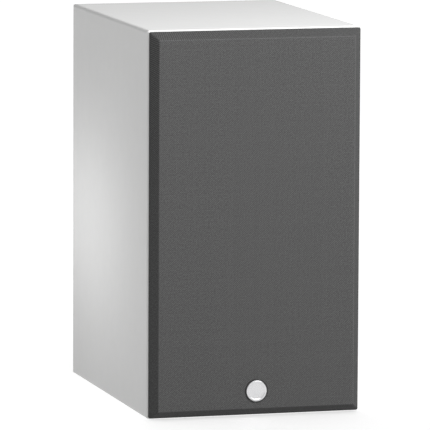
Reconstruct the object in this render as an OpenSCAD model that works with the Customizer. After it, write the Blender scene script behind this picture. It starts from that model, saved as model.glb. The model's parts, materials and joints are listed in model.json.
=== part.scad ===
// Two-way bass-reflex bookshelf loudspeaker with a pull-off cloth grille.
// +Z is up, the front faces -Y, and the origin is at the bottom centre of the whole object.

/* [Cabinet] */
// Width of the cabinet
cab_w = 170; // [164:1:200]
// Height of the cabinet
cab_h = 300; // [296:1:340]
// Depth of the cabinet from the baffle's face to the back panel's face
cab_d = 230; // [220:1:280]
// Thickness of the side, top and bottom panels
wall_t = 15; // [14:1:18]
// Thickness of the front baffle
baffle_t = 18; // [17:1:20]
// Thickness of the back panel
back_t = 15; // [14:1:18]
// Radius of the cabinet's outer edges
edge_r = 2.5; // [2:0.5:4]
// Height of the internal window brace above the base
brace_z = 168; // [166:1:170]

/* [Grille] */
// Distance from the baffle to the grille's front face
grille_t = 10; // [9:0.5:12]
// Gap between the grille's back face and the baffle
grille_gap = 0.5; // [0.4:0.1:1]
// Inset of the grille's outline from the cabinet's outline
grille_inset = 1; // [0.5:0.5:2]
// Width of the bevel round the grille, across the front
bevel_w = 6; // [4:0.5:7]
// Depth of the bevel round the grille
bevel_d = 7; // [5:0.5:7.5]
// Thickness of the grille cloth
cloth_t = 0.5; // [0.4:0.1:0.8]
// Width of the frame's sides between its outline and its window
frame_side = 15; // [14.5:0.5:15]
// Radius of a grille peg
peg_r = 3; // [2.5:0.5:3]
// Radius of the badge on the grille
badge_r = 9; // [6:0.5:9]

/* [Woofer] */
// Height of the woofer's axis above the base
woofer_z = 98; // [97:1:99]
// Outer radius of the woofer's flange
woofer_r = 65; // [65:0.5:66]

/* [Tweeter] */
// Height of the tweeter's axis above the base
tweeter_z = 222; // [220:1:224]
// Outer radius of the tweeter's faceplate
tweeter_r = 45; // [44:0.5:47]

/* [Port] */
// Height of the port's axis above the base
port_z = 232; // [228:1:240]
// Inner radius of the port tube
port_r = 20; // [16:0.5:21]
// Length of the port tube from the back face
port_len = 108; // [60:1:120]

/* [Terminals] */
// Height of the terminal cup's centre above the base
cup_z = 60; // [56:1:64]
// Distance between the two binding posts
post_pitch = 19.05; // [18:0.05:24]
// Depth of the terminal cup's floor below the back face
cup_depth = 24.5; // [24:0.5:26]
// Radius of the hole for a 4 mm plug
socket_r = 2.05; // [2:0.05:2.1]

/* [Hidden] */
$fn = 48;
eps = 0.01;                 // overrun of a cutter past a face
fit = 0.05;                 // radial clearance of a screw, peg or thread
badge_proud = 0.8;          // how far the badge stands out of the cloth
back_y = (cab_d + grille_t + badge_proud) / 2;
front_y = back_y - cab_d;
in_w = cab_w - 2 * wall_t;
in_h = cab_h - 2 * wall_t;

// grille, in distances from its back plane towards the front
grille_w = cab_w - 2 * grille_inset;
grille_h = cab_h - 2 * grille_inset;
grille_d = grille_t - grille_gap;
bevel_len = norm([bevel_w, bevel_d]);
window_low = 31;            // the frame's lower rail is tall enough to carry the badge
window_high = cab_h - 18;
window_r = 10;
fold_w = 10;                // width of the cloth's margin behind the frame
peg_x = cab_w / 2 - 8.5;
peg_z = 12;
peg_len = 9;
peg_root = 5.5;
socket_depth = 11.5;
badge_z = 20.5;

// woofer, in distances out of the baffle's face
flange_t = 3.6;
gasket_t = 0.8;
woofer_hole_r = 57.5;
land_z = -2.8;              // the step that the surround is glued to
land_t = 0.8;
roll_r = 51.1;              // radius of the middle of the surround's roll
roll_h = 4;
cone_r = 47.3;
cone_neck_r = 12.75;
cone_depth = 20;
cone_t = 0.8;
cap_r = 17.5;
cap_h = 6;
former_r = 12.7;
former_t = 0.3;
coil_t = 0.5;
spider_z = -30;
spider_r = 38.5;
plate_z = -39;              // front face of the woofer's top plate
plate_t = 5;
woofer_mag_t = 15;
yoke_t = 5;
woofer_mag_r = 41;
pole_r = 12;
woofer_screw_r = 61.6;

// tweeter, in distances out of the baffle's face
face_t = 3.2;
tweeter_hole_r = 36.5;
throat_r = 16;
horn_r = 34;
horn_depth = 7.5;
face_back = -9;
dome_r = 12.6;
dome_h = 4.6;
dome_z = -9.3;
tweeter_plate_z = -10.2;
tweeter_plate_t = 3.8;
tweeter_mag_t = 10;
tweeter_mag_r = 34;
tweeter_yoke_t = 4;
chamber_len = 18;
tweeter_screw_r = 40;

// terminal cup and posts, in distances out of the cup's floor
cup_w = 72;
cup_h = 52;
cup_flange_w = 84;
cup_flange_h = 64;
cup_flange_t = 2.5;
cup_wall = 2;
cup_floor = 2.5;
cup_r = 5;
post_r = 3;
collar_h = 2.5;
clamp_z = 4.1;
clamp_t = 1;
knob_z = 5.2;
knob_r = 6.2;
knob_len = 17.8;
stud_top = 21.8;
wire_hole_z = 5.8;
wire_hole_r = 1.5;
socket_floor = 7.6;
stud_tail = -10;

// port, in distances out of the back face
port_flange_r = 30;
port_flange_t = 2.5;
port_wall = 2;
flare_r = 6;

// crossover, on the bottom panel
board_size = [100, 90, 1.6];
board_y = 20;
standoff_h = 6;
board_top = wall_t + standoff_h + board_size[2];

// hook-up wires, as round points of the whole object, from the cup to the board and on to the drivers
wire_r = 1.1;
input_red = [[9.5, 87, 47], [9.5, 84, 42], [14, 78, 34], [22, 72, 28], [30, 67, 24.5], [33, 60, 24]];
input_black = [[-9.5, 87, 47], [-9.5, 84, 42], [-6, 77, 34], [0, 71, 28], [4, 67, 24.5], [4, 60, 24]];
woofer_red = [[4, -72, 45], [4, -68, 38], [8, -58, 30], [14, -46, 25.5], [20, -34, 24], [24, -22, 24]];
woofer_black = [[-4, -72, 45], [-4, -68, 37], [-4, -58, 30], [-4, -46, 25.5], [-4, -34, 24], [-4, -22, 24]];
tweeter_red = [[5, -70, 184], [6, -62, 176], [20, -40, 168], [40, -10, 150], [52, 10, 120], [54, 20, 90],
               [54, 24, 50], [52, 26, 30], [48, 28, 24]];
tweeter_black = [[-5, -70, 184], [-8, -58, 176], [-24, -34, 168], [-42, -6, 150], [-53, 14, 120],
                 [-54, 22, 90], [-54, 26, 50], [-52, 28, 30], [-48, 30, 24]];

// ---- Placing ----

// Local +Z points out of the baffle, along -Y, and local +Y points up.
module on_baffle(x, z) { translate([x, front_y, z]) rotate([90, 0, 0]) children(); }

// Local +Z points out of the back panel, along +Y, and local +Y points down.
module on_back(x, z) { translate([x, back_y, z]) rotate([-90, 0, 0]) children(); }

// Local +Z points out of the terminal cup's floor, on one post's axis. side is 1 or -1.
module on_post(side) { on_back(side * post_pitch / 2, cup_z) translate([0, 0, -cup_depth]) children(); }

// An outline in X and Z, carried along Y.
module along_y(y0, y1) { translate([0, y1, 0]) rotate([90, 0, 0]) linear_extrude(y1 - y0) children(); }

module ring_of(count, r, start = 0) {
    for (i = [0 : count - 1]) rotate([0, 0, start + i * 360 / count]) translate([r, 0, 0]) children();
}

module corners(dx, dy) {
    for (sx = [-1, 1], sy = [-1, 1]) translate([sx * dx, sy * dy, 0]) children();
}

// ---- Shared shapes ----

module rounded_rect(w, h, r) {
    square([w - 2 * r, h], center = true);
    square([w, h - 2 * r], center = true);
    for (sx = [-1, 1], sy = [-1, 1]) translate([sx * (w / 2 - r), sy * (h / 2 - r)]) circle(r);
}

// A ring from r0 to r1 and z0 to z1.
module tube(r0, r1, z0, z1) {
    translate([0, 0, z0]) difference() {
        cylinder(r = r1, h = z1 - z0);
        translate([0, 0, -1]) cylinder(r = r0, h = z1 - z0 + 2);
    }
}

// A cross-section in radius and height, turned about the local Z axis.
module turned(points) { rotate_extrude() polygon(points); }

// A socket-head screw whose head's top face is at z 0.
module screw(head_r, head_h, shank_r, len, socket) {
    difference() {
        union() {
            translate([0, 0, -head_h]) cylinder(r = head_r, h = head_h);
            translate([0, 0, -len]) cylinder(r = shank_r, h = len - head_h + eps);
        }
        translate([0, 0, -head_h * 0.6]) cylinder(r = socket, h = head_h, $fn = 6);
    }
}

// The mean direction of a path at point i.
function heading(p, i) =
    let (v = p[min(i + 1, len(p) - 1)] - p[max(i - 1, 0)]) v / norm(v);

function side_of(d) = let (s = abs(d[2]) > 0.9 ? cross(d, [1, 0, 0]) : cross(d, [0, 0, 1])) s / norm(s);

// A point on a smooth curve through the path's points, between point i and the next.
function spline(p, i, t) =
    let (a = p[max(i - 1, 0)], b = p[i], c = p[i + 1], d = p[min(i + 2, len(p) - 1)])
    0.5 * (2 * b + (c - a) * t + (2 * a - 5 * b + 4 * c - d) * t * t + (3 * b - a - 3 * c + d) * t * t * t);

function smoothed(p, steps) =
    concat([for (i = [0 : len(p) - 2], k = [0 : steps - 1]) spline(p, i, k / steps)], [p[len(p) - 1]]);

// A round wire swept along a smooth curve through the points of a path.
module wire(path, r, sides = 8, steps = 3) {
    p = smoothed(path, steps);
    n = len(p);
    points = [for (i = [0 : n - 1])
        let (d = heading(p, i), s = side_of(d), u = cross(s, d))
        for (k = [0 : sides - 1]) p[i] + r * (cos(360 * k / sides) * s + sin(360 * k / sides) * u)];
    faces = concat(
        [[for (k = [0 : sides - 1]) k]],
        [for (i = [0 : n - 2], k = [0 : sides - 1])
            [i * sides + k, (i + 1) * sides + k,
             (i + 1) * sides + (k + 1) % sides, i * sides + (k + 1) % sides]],
        [[for (k = [sides - 1 : -1 : 0]) (n - 1) * sides + k]]);
    polyhedron(points = points, faces = faces);
}

// ---- Cabinet ----

// The cabinet's outer form, with every edge rounded.
module cabinet_block() {
    intersection() {
        translate([0, 0, cab_h / 2]) along_y(front_y, back_y) rounded_rect(cab_w, cab_h, edge_r);
        translate([0, front_y + cab_d / 2, 0]) linear_extrude(cab_h) rounded_rect(cab_w, cab_d, edge_r);
        translate([-cab_w / 2, front_y + cab_d / 2, cab_h / 2]) rotate([90, 0, 90])
            linear_extrude(cab_w) rounded_rect(cab_d, cab_h, edge_r);
    }
}

// One panel of the sleeve: the part of the block inside an outline with mitred ends.
module sleeve_panel(outline) {
    color("whitesmoke") intersection() {
        cabinet_block();
        along_y(front_y + baffle_t, back_y + 1) polygon(outline);
    }
}

// The sleeve's mitre: a point on it at depth t from the corner of side sx and level sz.
function mitre(sx, sz, t) = [sx * (cab_w / 2 - t), (sz > 0 ? cab_h - t : t)];

module left_panel() {
    sleeve_panel([mitre(-1, 0, -1), mitre(-1, 0, wall_t), mitre(-1, 1, wall_t), mitre(-1, 1, -1)]);
}

module right_panel() {
    sleeve_panel([mitre(1, 0, -1), mitre(1, 0, wall_t), mitre(1, 1, wall_t), mitre(1, 1, -1)]);
}

module top_panel() {
    sleeve_panel([mitre(-1, 1, -1), mitre(-1, 1, wall_t), mitre(1, 1, wall_t), mitre(1, 1, -1)]);
}

module bottom_panel() {
    sleeve_panel([mitre(-1, 0, -1), mitre(-1, 0, wall_t), mitre(1, 0, wall_t), mitre(1, 0, -1)]);
}

module front_baffle() {
    color("whitesmoke") difference() {
        intersection() {
            cabinet_block();
            translate([-cab_w / 2 - 1, front_y - 1, -1]) cube([cab_w + 2, baffle_t + 1, cab_h + 2]);
        }
        on_baffle(0, woofer_z) {
            translate([0, 0, -baffle_t - 1]) cylinder(r = woofer_hole_r, h = baffle_t + 2);
            translate([0, 0, -flange_t - gasket_t]) cylinder(r = woofer_r + 0.3, h = 10);
            ring_of(6, woofer_screw_r, 30) translate([0, 0, -16.2]) cylinder(r = 1.7 + fit, h = 16.2);
        }
        on_baffle(0, tweeter_z) {
            translate([0, 0, -baffle_t - 1]) cylinder(r = tweeter_hole_r, h = baffle_t + 2);
            translate([0, 0, -face_t - gasket_t]) cylinder(r = tweeter_r + 0.3, h = 10);
            ring_of(4, tweeter_screw_r, 45) translate([0, 0, -15.2]) cylinder(r = 1.5 + fit, h = 15.2);
        }
        on_baffle(0, cab_h / 2) corners(peg_x, cab_h / 2 - peg_z)
            translate([0, 0, -socket_depth]) cylinder(r = peg_r + 1.5, h = socket_depth + 1);
    }
}

module back_panel() {
    color("whitesmoke") difference() {
        translate([-in_w / 2, back_y - back_t, wall_t]) cube([in_w, back_t, in_h]);
        on_back(0, port_z) {
            translate([0, 0, -back_t - 1]) cylinder(r = port_r + 4.5, h = back_t + 2);
            translate([0, 0, -port_flange_t]) cylinder(r = port_flange_r + 0.3, h = 10);
        }
        on_back(0, cup_z) {
            translate([0, 0, -back_t - 1]) linear_extrude(back_t + 2)
                rounded_rect(cup_w + 1, cup_h + 1, cup_r + 0.5);
            translate([0, 0, -cup_flange_t]) linear_extrude(10)
                rounded_rect(cup_flange_w + 0.6, cup_flange_h + 0.6, 6.3);
            corners(38, 28) translate([0, 0, -13.2]) cylinder(r = 1.5 + fit, h = 13.2);
        }
    }
}

// A shelf across the cabinet with two windows that let the air and the wires through.
module window_brace() {
    brace_t = 12;
    deep = cab_d - baffle_t - back_t;
    rib = 20;
    color("burlywood") difference() {
        translate([-in_w / 2, front_y + baffle_t, brace_z - brace_t / 2]) cube([in_w, deep, brace_t]);
        for (k = [0, 1])
            translate([0, front_y + baffle_t + rib + (deep - 3 * rib) / 4 + k * ((deep - 3 * rib) / 2 + rib),
                       brace_z - brace_t])
                linear_extrude(2 * brace_t) rounded_rect(in_w - 1.5 * rib, (deep - 3 * rib) / 2, 12);
    }
}

module damping_foam() {
    foam_t = 12;
    long = 150;
    color("dimgray") {
        for (s = [-1, 1]) translate([s * (in_w - foam_t) / 2, 16, 85])
            cube([foam_t, long, 130], center = true);
        translate([0, 16, cab_h - wall_t - foam_t / 2]) cube([110, long, foam_t], center = true);
    }
}

// ---- Grille ----

// The bevelled outline of one half-width, brought in by t, as [across, out] pairs. low is the back plane.
function bevel_outline(half, t, low) =
    let (side = grille_d - bevel_d - t * (bevel_len - bevel_d) / bevel_w,
         across = half - bevel_w - t * (bevel_len - bevel_w) / bevel_d)
    [[half - t, low], [half - t, side], [across, grille_d - t],
     [-across, grille_d - t], [-half + t, side], [-half + t, low]];

// A block with a flat front and four bevels, t inside the grille's outer form.
module bevelled_block(t, low) {
    translate([0, front_y - grille_gap, cab_h / 2]) intersection() {
        translate([0, 0, -cab_h]) linear_extrude(2 * cab_h)
            polygon([for (p = bevel_outline(grille_w / 2, t, low)) [p[0], -p[1]]]);
        translate([-cab_w, 0, 0]) rotate([90, 0, 90]) linear_extrude(2 * cab_w)
            polygon([for (p = bevel_outline(grille_h / 2, t, low)) [-p[1], p[0]]]);
    }
}

module window_outline() {
    translate([0, (window_low + window_high) / 2])
        rounded_rect(cab_w - 2 * frame_side - 2 * grille_inset, window_high - window_low, window_r);
}

module grille_frame() {
    color([0.12, 0.12, 0.12]) difference() {
        bevelled_block(cloth_t, cloth_t);
        along_y(front_y - 20, front_y) window_outline();
        on_baffle(0, cab_h / 2) corners(peg_x, cab_h / 2 - peg_z)
            cylinder(r = peg_r + fit / 2, h = peg_root);
        on_baffle(0, badge_z) translate([0, 0, grille_t - 1.2]) cylinder(r = badge_r + 0.2, h = 5);
    }
}

// A cloth bag over the frame's front, bevels and sides, with its margin folded behind.
module grille_cloth() {
    color([0.36, 0.36, 0.36]) difference() {
        bevelled_block(0, 0);
        bevelled_block(cloth_t, cloth_t);
        translate([0, 0, cab_h / 2]) along_y(front_y - grille_gap - 2 * cloth_t, front_y)
            square([grille_w - 2 * fold_w, grille_h - 2 * fold_w], center = true);
        on_baffle(0, cab_h / 2) corners(peg_x, cab_h / 2 - peg_z) cylinder(r = peg_r + 0.5, h = 2);
        on_baffle(0, badge_z) translate([0, 0, grille_t - 2]) cylinder(r = badge_r + 0.2, h = 5);
    }
}

module grille_pegs() {
    color([0.1, 0.1, 0.1]) on_baffle(0, cab_h / 2) corners(peg_x, cab_h / 2 - peg_z)
        turned([[0, peg_root - 0.1], [peg_r, peg_root - 0.1], [peg_r, 1.2 - peg_len], [peg_r - 1, -peg_len],
                [0, -peg_len]]);
}

module grille_sockets() {
    bore = peg_r + 2 * fit;
    color([0.1, 0.1, 0.1]) on_baffle(0, cab_h / 2) corners(peg_x, cab_h / 2 - peg_z)
        turned([[0, -socket_depth], [peg_r + 1.45, -socket_depth], [peg_r + 1.45, 0], [bore + 0.6, 0],
                [bore, -0.6], [bore, 1 - socket_depth], [0, 1 - socket_depth]]);
}

module badge_bezel() {
    color([0.08, 0.08, 0.08]) on_baffle(0, badge_z) translate([0, 0, grille_t - 1.1])
        turned([[0, 0], [badge_r, 0], [badge_r, 1.5], [badge_r - 0.3, 1.7], [badge_r - 0.9, 1.7],
                [badge_r - 0.9, 0.8], [0, 0.8]]);
}

module badge_face() {
    r = badge_r - 0.95;
    color("gainsboro") on_baffle(0, badge_z) translate([0, 0, grille_t - 0.3])
        turned([[0, 0], [r, 0], [r, 0.8], [r - 0.3, 1.1], [r - 1.2, 1.1], [r - 1.5, 0.9], [0, 0.9]]);
}

// ---- Woofer ----

// Height of the cone's front face at radius r: steep at the neck and shallow at the rim.
function cone_z(r) = land_z - cone_depth * pow((cone_r - 2.8 - r) / (cone_r - 2.8 - cone_neck_r), 1.15);

module woofer_basket() {
    color([0.13, 0.13, 0.13]) on_baffle(0, woofer_z) difference() {
        turned([[woofer_r, 0], [58, 0], [58, land_z], [53.5, land_z], [53.5, -7], [41, -29], [41, spider_z],
                [35.5, spider_z], [35.5, -36], [24, -36], [24, plate_z], [38.5, plate_z], [38.5, -33],
                [44, -31], [44, -29], [56.5, -8], [56.5, -flange_t], [woofer_r, -flange_t]]);
        ring_of(6, 30, 30) translate([0, -16, -27.5]) cube([40, 32, 19]);
        ring_of(6, woofer_screw_r, 30) {
            translate([0, 0, -1.8]) cylinder(r = 3.1, h = 5);
            translate([0, 0, -10]) cylinder(r = 1.9, h = 12);
        }
    }
}

module woofer_gasket() {
    color([0.2, 0.2, 0.2]) on_baffle(0, woofer_z) difference() {
        tube(58, woofer_r - 0.2, -flange_t - gasket_t, -flange_t);
        ring_of(6, woofer_screw_r, 30) translate([0, 0, -10]) cylinder(r = 1.9, h = 12);
    }
}

module woofer_screws() {
    color([0.15, 0.15, 0.15]) on_baffle(0, woofer_z) ring_of(6, woofer_screw_r, 30)
        translate([0, 0, -0.1]) screw(2.75, 1.7, 1.7, 16, 1.45);
}

// A rubber half-roll between two flat lands.
module woofer_surround() {
    color([0.1, 0.1, 0.1]) on_baffle(0, woofer_z) rotate_extrude() translate([0, land_z]) {
        translate([44.5, 0]) square([3, land_t]);
        translate([54.7, 0]) square([3.1, land_t]);
        translate([roll_r, 0]) difference() {
            circle(roll_h);
            circle(roll_h - land_t);
            translate([-10, -20]) square([20, 20]);
        }
    }
}

module woofer_cone() {
    steps = 9;
    rim = cone_r - 2.8;
    radii = [for (i = [0 : steps]) rim + (cone_neck_r - rim) * i / steps];
    color("linen") on_baffle(0, woofer_z) turned(concat(
        [[cone_r, land_z - cone_t], [cone_r, land_z]],
        [for (r = radii) [r, cone_z(r)]],
        [for (i = [steps : -1 : 0]) [radii[i], cone_z(radii[i]) - cone_t - 0.3 * (i > 0 ? 1 : 0)]]));
}

module woofer_dust_cap() {
    base = cone_z(cap_r) + 0.5;
    ball = (cap_r * cap_r + cap_h * cap_h) / (2 * cap_h);
    color([0.1, 0.1, 0.1]) on_baffle(0, woofer_z) translate([0, 0, base]) rotate_extrude() difference() {
        translate([0, cap_h - ball]) circle(ball, $fn = 96);
        translate([0, cap_h - ball]) circle(ball - 0.6, $fn = 96);
        translate([-100, -200]) square([200, 200]);
        translate([-200, -200]) square([200, 400]);
    }
}

module woofer_coil_former() {
    color("goldenrod") on_baffle(0, woofer_z)
        tube(former_r - former_t, former_r, -50, cone_z(cone_neck_r) + 1);
}

module woofer_voice_coil() {
    color("sandybrown") on_baffle(0, woofer_z) tube(former_r + 0.02, former_r + coil_t, -47.5, -35.5);
}

// A corrugated cloth disc that centres the coil.
module woofer_spider() {
    waves = 4;
    steps = waves * 8;
    inner = former_r + 1.6;
    outer = 35.5;
    t = 0.5;
    wave = [for (i = [0 : steps])
        [inner + (outer - inner) * i / steps, spider_z + 1.1 * sin(360 * waves * i / steps)]];
    color("darkkhaki") on_baffle(0, woofer_z) turned(concat(
        [[former_r + fit, spider_z - 1], [inner, spider_z - 1]], wave,
        [[spider_r, spider_z], [spider_r, spider_z + t]], [for (i = [steps : -1 : 0]) wave[i] + [0, t]],
        [[inner, spider_z + 1.5], [former_r + fit, spider_z + 1.5]]));
}

module woofer_top_plate() {
    color("silver") on_baffle(0, woofer_z) tube(13.6, 37, plate_z - plate_t, plate_z);
}

module woofer_magnet() {
    low = plate_z - plate_t - woofer_mag_t;
    high = low + woofer_mag_t;
    color([0.25, 0.25, 0.27]) on_baffle(0, woofer_z)
        turned([[19, low], [woofer_mag_r - 1, low], [woofer_mag_r, low + 1],
                [woofer_mag_r, high - 1], [woofer_mag_r - 1, high], [19, high]]);
}

// The back plate and the pole through the coil, in one piece.
module woofer_yoke() {
    low = plate_z - plate_t - woofer_mag_t - yoke_t;
    color("silver") on_baffle(0, woofer_z) turned([[0, low], [35, low], [37, low + 2], [37, low + yoke_t],
        [pole_r, low + yoke_t], [pole_r, plate_z], [pole_r - 0.8, plate_z + 0.8], [0, plate_z + 0.8]]);
}

// A fibre strip on the basket's lower wall with two metal tags.
module woofer_terminals() {
    color("peru") on_baffle(0, woofer_z) {
        difference() {
            translate([-11, -49.5, -36]) cube([22, 9.5, 1.5]);
            cylinder(r = 44.1, h = 200, center = true);
        }
        for (s = [-1, 1]) translate([s * 4 - 1.6, -53.5, -34.5]) cube([3.2, 8, 0.8]);
    }
}

module woofer_tinsel_leads() {
    color("tan") on_baffle(0, woofer_z) for (s = [-1, 1])
        wire([[s * 4, -47, -33.2], [s * 4, -50, -28], [s * 4, -46, -21], [s * 4, -38, -19],
              [s * 4, -30, cone_z(30) - cone_t - 1.6]], 0.6);
}

// ---- Tweeter ----

module tweeter_faceplate() {
    steps = 10;
    flare = [for (i = [0 : steps]) let (t = i / steps)
        [throat_r + (horn_r - throat_r) * t, -horn_depth * pow(1 - t, 2)]];
    color([0.12, 0.12, 0.12]) on_baffle(0, tweeter_z) difference() {
        turned(concat([[tweeter_r, 0], [tweeter_r, -face_t], [tweeter_hole_r - 0.5, -face_t],
                       [tweeter_hole_r - 0.5, face_back], [throat_r, face_back]], flare));
        ring_of(4, tweeter_screw_r, 45) {
            translate([0, 0, -1.8]) cylinder(r = 2.9, h = 5);
            translate([0, 0, -10]) cylinder(r = 1.7, h = 12);
        }
    }
}

module tweeter_gasket() {
    color([0.2, 0.2, 0.2]) on_baffle(0, tweeter_z) difference() {
        tube(tweeter_hole_r + 0.3, tweeter_r - 0.2, -face_t - gasket_t, -face_t);
        ring_of(4, tweeter_screw_r, 45) translate([0, 0, -10]) cylinder(r = 1.7, h = 12);
    }
}

module tweeter_screws() {
    color([0.15, 0.15, 0.15]) on_baffle(0, tweeter_z) ring_of(4, tweeter_screw_r, 45)
        translate([0, 0, -0.1]) screw(2.5, 1.7, 1.5, 15, 1.3);
}

module tweeter_dome() {
    ball = (dome_r * dome_r + dome_h * dome_h) / (2 * dome_h);
    color([0.12, 0.12, 0.12]) on_baffle(0, tweeter_z) translate([0, 0, dome_z])
    rotate_extrude() difference() {
        translate([0, dome_h - ball]) circle(ball, $fn = 96);
        translate([0, dome_h - ball]) circle(ball - 0.4, $fn = 96);
        translate([-100, -200]) square([200, 200]);
        translate([-200, -200]) square([200, 400]);
    }
}

module tweeter_surround() {
    t = 0.3;
    color([0.1, 0.1, 0.1]) on_baffle(0, tweeter_z) rotate_extrude() translate([0, dome_z]) {
        translate([dome_r + 0.02, 0]) square([0.5, t]);
        translate([15.1, 0]) square([2, t]);
        translate([14.1, 0]) difference() {
            circle(1.2);
            circle(1.2 - t);
            translate([-10, -20]) square([20, 20]);
        }
    }
}

module tweeter_mounting_ring() {
    color([0.15, 0.15, 0.15]) on_baffle(0, tweeter_z) turned([[15, tweeter_plate_z], [26, tweeter_plate_z],
        [26, face_back], [17.2, face_back], [17.2, dome_z], [15, dome_z]]);
}

module tweeter_voice_coil() {
    color("sandybrown") on_baffle(0, tweeter_z) tube(12.2, dome_r, dome_z - 5.2, dome_z);
}

module tweeter_top_plate() {
    color("silver") on_baffle(0, tweeter_z)
        tube(13.2, 33, tweeter_plate_z - tweeter_plate_t, tweeter_plate_z);
}

module tweeter_magnet() {
    high = tweeter_plate_z - tweeter_plate_t;
    low = high - tweeter_mag_t;
    color([0.25, 0.25, 0.27]) on_baffle(0, tweeter_z)
        turned([[18, low], [tweeter_mag_r - 0.8, low], [tweeter_mag_r, low + 0.8],
                [tweeter_mag_r, high - 0.8], [tweeter_mag_r - 0.8, high], [18, high]]);
}

module tweeter_yoke() {
    high = tweeter_plate_z - tweeter_plate_t - tweeter_mag_t;
    color("silver") on_baffle(0, tweeter_z)
        turned([[0, high - tweeter_yoke_t], [33, high - tweeter_yoke_t], [33, high],
                [11.7, high], [11.7, tweeter_plate_z - 0.6], [0, tweeter_plate_z - 0.6]]);
}

module tweeter_rear_chamber() {
    high = tweeter_plate_z - tweeter_plate_t - tweeter_mag_t - tweeter_yoke_t;
    color([0.15, 0.15, 0.15]) on_baffle(0, tweeter_z) {
        turned([[0, high - chamber_len], [30, high - chamber_len], [32, high - chamber_len + 2], [32, high],
                [30, high], [30, high - chamber_len + 2], [0, high - chamber_len + 2]]);
        for (s = [-1, 1]) translate([s * 5 - 1.4, -40, high - 9]) cube([2.8, 8.6, 0.8]);
    }
}

// ---- Port ----

module port_tube() {
    color([0.1, 0.1, 0.1]) on_back(0, port_z) rotate_extrude() difference() {
        union() {
            translate([port_r, -port_flange_t]) square([port_flange_r - port_r, port_flange_t]);
            translate([port_r, -9]) square([4.2, 9]);
            translate([port_r, -port_len]) square([port_wall, port_len]);
            translate([port_r + port_wall, 2 - port_len]) circle(1.6);
        }
        difference() {
            translate([port_r - 1, -flare_r]) square([flare_r + 1, flare_r + 1]);
            translate([port_r + flare_r, -flare_r]) circle(flare_r);
        }
        translate([port_r - 5, -port_len - 5]) square([5, port_len + 10]);
    }
}

// ---- Terminals ----

module terminal_cup() {
    color([0.12, 0.12, 0.12]) on_back(0, cup_z) difference() {
        union() {
            translate([0, 0, -cup_flange_t]) linear_extrude(cup_flange_t)
                rounded_rect(cup_flange_w, cup_flange_h, 6);
            translate([0, 0, -cup_depth - cup_floor]) linear_extrude(cup_depth + cup_floor)
                rounded_rect(cup_w, cup_h, cup_r);
        }
        translate([0, 0, -cup_depth]) linear_extrude(cup_depth + 1)
            rounded_rect(cup_w - 2 * cup_wall, cup_h - 2 * cup_wall, cup_r - cup_wall);
        for (s = [-1, 1]) translate([s * post_pitch / 2, 0, -cup_depth - 10])
            cylinder(r = post_r + 0.1, h = 20);
        corners(38, 28) {
            translate([0, 0, -1.5]) cylinder(r = 2.9, h = 5);
            translate([0, 0, -5]) cylinder(r = 1.7, h = 10);
        }
    }
}

module terminal_screws() {
    color([0.15, 0.15, 0.15]) on_back(0, cup_z) corners(38, 28)
        translate([0, 0, -0.1]) screw(2.5, 1.4, 1.5, 13, 1.3);
}

module post_collar(side, colour) {
    color(colour) on_post(side) turned([[post_r + 0.1, 0], [7.5, 0], [7.5, collar_h - 0.6], [6.9, collar_h],
        [post_r + 0.1, collar_h]]);
}

// A plated stud, drilled along its axis for a 4 mm plug and across for a bare wire.
module post_stud(side) {
    color("gold") on_post(side) difference() {
        union() {
            translate([0, 0, stud_tail]) cylinder(r = post_r, h = stud_top - stud_tail);
            translate([0, 0, collar_h]) cylinder(r = 5.6, h = 1.5);
        }
        translate([0, 0, socket_floor]) cylinder(r = socket_r, h = stud_top);
        translate([0, 0, wire_hole_z]) rotate([0, 90, 0]) cylinder(r = wire_hole_r, h = 20, center = true);
    }
}

module post_clamp(side) { color("gold") on_post(side) tube(post_r + 0.1, 5.8, clamp_z, clamp_z + clamp_t); }

// A fluted knob on the stud's thread, with a hole in its end for the plug.
module post_knob(side, colour) {
    flutes = 18;
    high = knob_z + knob_len;
    color(colour) on_post(side) difference() {
        turned([[post_r + fit, knob_z], [knob_r, knob_z], [knob_r, high - 1], [knob_r - 1, high],
                [post_r + fit + 0.4, high], [post_r + fit, high - 0.4]]);
        ring_of(flutes, knob_r + 0.35) translate([0, 0, knob_z + 2])
            cylinder(r = 0.75, h = knob_len, $fn = 24);
    }
}

module post_collar_red() { post_collar(1, "firebrick"); }
module post_collar_black() { post_collar(-1, [0.1, 0.1, 0.1]); }
module post_stud_red() { post_stud(1); }
module post_stud_black() { post_stud(-1); }
module post_clamp_red() { post_clamp(1); }
module post_clamp_black() { post_clamp(-1); }
module post_knob_red() { post_knob(1, "firebrick"); }
module post_knob_black() { post_knob(-1, [0.1, 0.1, 0.1]); }

module post_nuts() {
    color("gold") for (s = [-1, 1]) on_post(s) difference() {
        translate([0, 0, -cup_floor - 4.8]) cylinder(r = 5.7, h = 4, $fn = 6);
        translate([0, 0, -20]) cylinder(r = post_r + fit, h = 40);
    }
}

module solder_lugs() {
    color("gold") for (s = [-1, 1]) on_post(s) difference() {
        translate([0, 0, -cup_floor - 0.8]) union() {
            cylinder(r = 5.5, h = 0.8);
            translate([-2, 0, 0]) cube([4, 13, 0.8]);
        }
        translate([0, 0, -20]) cylinder(r = post_r + fit, h = 40);
    }
}

// ---- Crossover ----

module board_holes() {
    translate([0, board_y, 0]) corners(board_size[0] / 2 - 5, board_size[1] / 2 - 5) children();
}

module crossover_board() {
    color("darkgreen") difference() {
        translate([-board_size[0] / 2, board_y - board_size[1] / 2, board_top - board_size[2]])
            cube(board_size);
        board_holes() translate([0, 0, wall_t]) cylinder(r = 1.6, h = 20);
    }
}

// Four screws through spacers, from above the board into the bottom panel's face.
module board_screws() {
    color("silver") board_holes() {
        tube(1.6, 3.5, wall_t, wall_t + standoff_h);
        translate([0, 0, wall_t]) cylinder(r = 1.5, h = standoff_h + board_size[2] + eps);
        translate([0, 0, board_top]) cylinder(r = 3, h = 2);
    }
}

module woofer_inductor() {
    color("sienna") translate([-27, -2, board_top]) tube(9, 19, 0, 18);
}

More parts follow.
